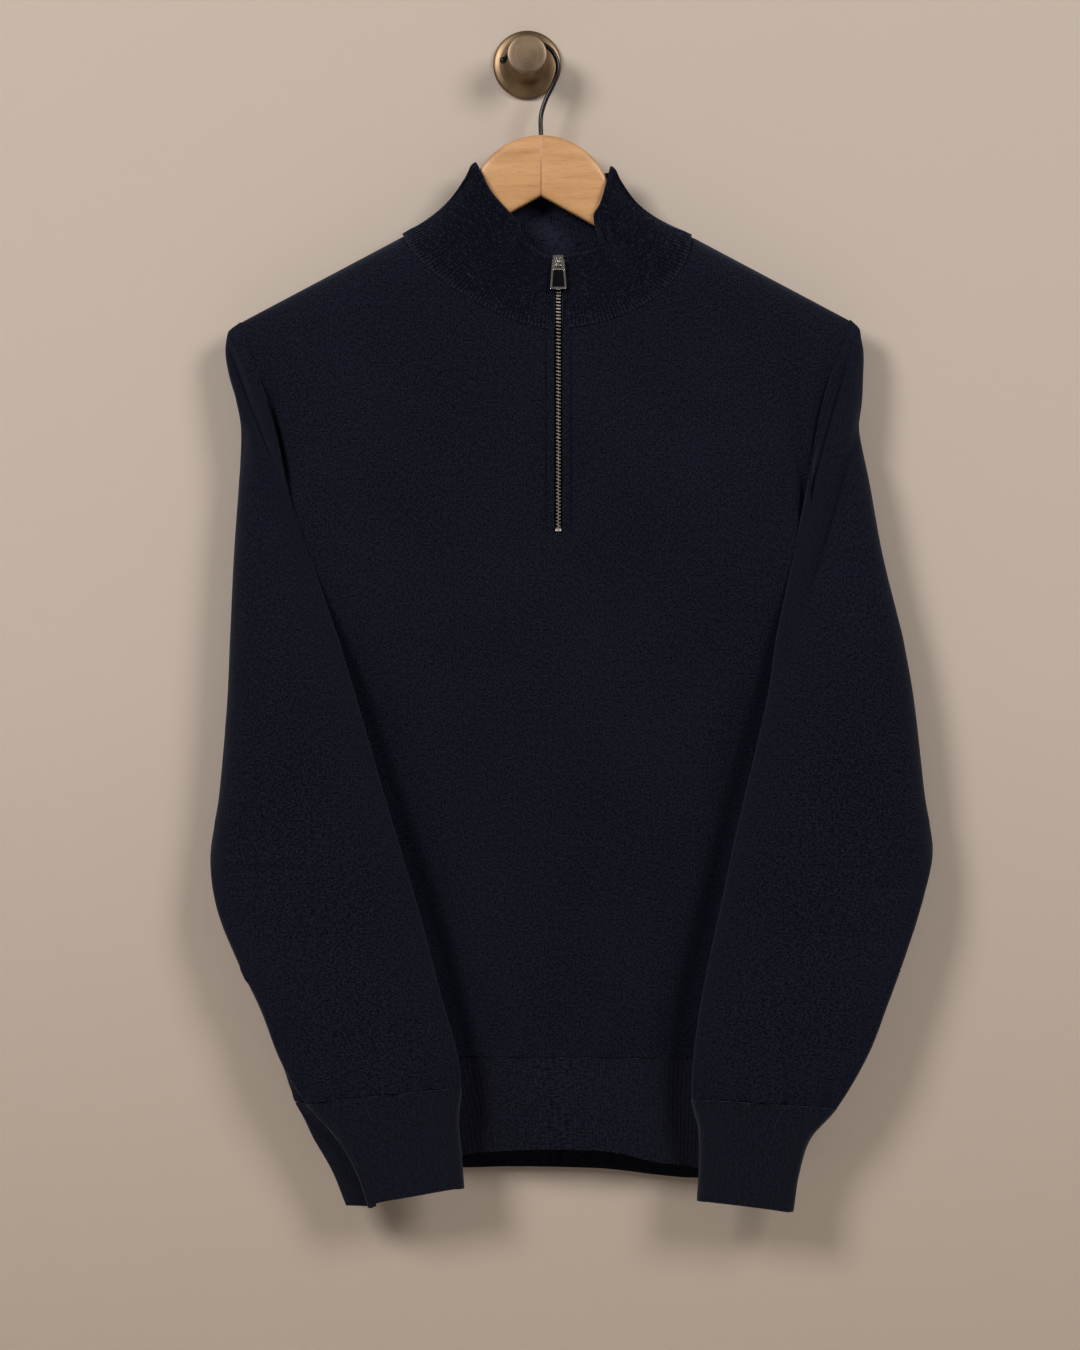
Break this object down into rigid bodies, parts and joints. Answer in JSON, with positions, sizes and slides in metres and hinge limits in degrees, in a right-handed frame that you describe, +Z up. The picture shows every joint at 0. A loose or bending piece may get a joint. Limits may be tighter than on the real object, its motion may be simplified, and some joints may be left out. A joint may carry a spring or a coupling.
{
  "type": "quarter zip sweater on wooden hanger and wall peg",
  "caption": "Long-sleeved quarter zip sweater with a stand collar and ribbed hem and cuffs, hung flat on a wooden hanger whose wire hook hangs on a round wall peg.",
  "frame": {"origin": "centre of the wall peg's flat back face, on the wall plane", "axes": "+X along the wall to the viewer's right, +Z up, -Y out of the wall"},
  "size_m": [0.5239, 0.0636, 0.8591],
  "materials": {
    "navy_knit": "fine heathered dark navy jersey knit, soft and matt",
    "navy_rib": "dark navy ribbed knit, matt",
    "zip_tape": "dark woven tape",
    "zip_metal": "polished pale champagne metal",
    "hanger_wood": "pale beech with a satin lacquer",
    "hook_wire": "gloss black",
    "peg_brass": "aged and brushed",
    "peg_bronze": "dark, brushed"
  },
  "bodies": {
    "sweater_on_hanger": {"front_panel": "navy_knit", "back_panel": "navy_knit", "sleeve_left_upper_front": "navy_knit", "sleeve_left_upper_back": "navy_knit", "sleeve_left_lower_front": "navy_knit", "sleeve_left_lower_back": "navy_knit", "sleeve_right_upper_front": "navy_knit", "sleeve_right_upper_back": "navy_knit", "sleeve_right_lower_front": "navy_knit", "sleeve_right_lower_back": "navy_knit", "cuff_left": "navy_rib", "cuff_right": "navy_rib", "hem_rib": "navy_rib", "collar": "navy_rib", "zip_tape_left": "zip_tape", "zip_tape_right": "zip_tape", "zip_chain": "zip_metal", "zip_slider": "zip_metal", "zip_stop": "zip_metal", "hanger_arm_left": "hanger_wood", "hanger_arm_right": "hanger_wood", "hanger_hook": "hook_wire", "peg_base": "peg_brass", "peg_knob": "peg_bronze"},
    "pull_tab": {"zip_pull": "zip_metal"}
  },
  "joints": [
    {"name": "pull_tab_hinge", "type": "hinge", "parent": "sweater_on_hanger", "child": "pull_tab", "pos_m": [0.0225, -0.04432, -0.14872], "axis": [-1, 0, 0], "range_deg": [0, 150]}
  ]
}
